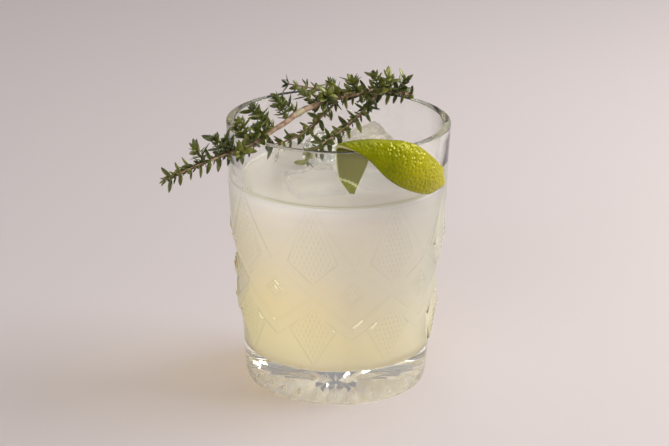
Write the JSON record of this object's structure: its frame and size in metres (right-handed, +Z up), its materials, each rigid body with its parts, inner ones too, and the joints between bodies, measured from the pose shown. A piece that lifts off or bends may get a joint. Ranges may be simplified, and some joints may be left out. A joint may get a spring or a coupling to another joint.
{
  "type": "margarita cocktail",
  "caption": "Margarita on ice in a pressed-diamond rocks tumbler, with a strip of lime peel turned over the rim and a leafy thyme sprig lying across it.",
  "frame": {"origin": "centre of the flat foot the glass stands on, on the axis of the glass", "axes": "+Z up along the axis of the glass; -Y is the side the drink is looked at from, with the lime peel to the right (+X) and the sprig's tip to the left"},
  "size_m": [0.1045, 0.1091, 0.1176],
  "materials": {
    "glass": "clear pressed glass",
    "drink": "cloudy pale liquid",
    "ice": "clear ice",
    "peel": "waxy lime zest over pale pith",
    "thyme": "leaf green on a woody brown stem"
  },
  "bodies": {
    "root": {"glass": "glass", "drink": "drink", "ice_back": "ice", "ice_left": "ice", "ice_front": "ice", "ice_right": "ice", "lime_peel": "peel", "thyme_sprig": "thyme"}
  },
  "joints": []
}
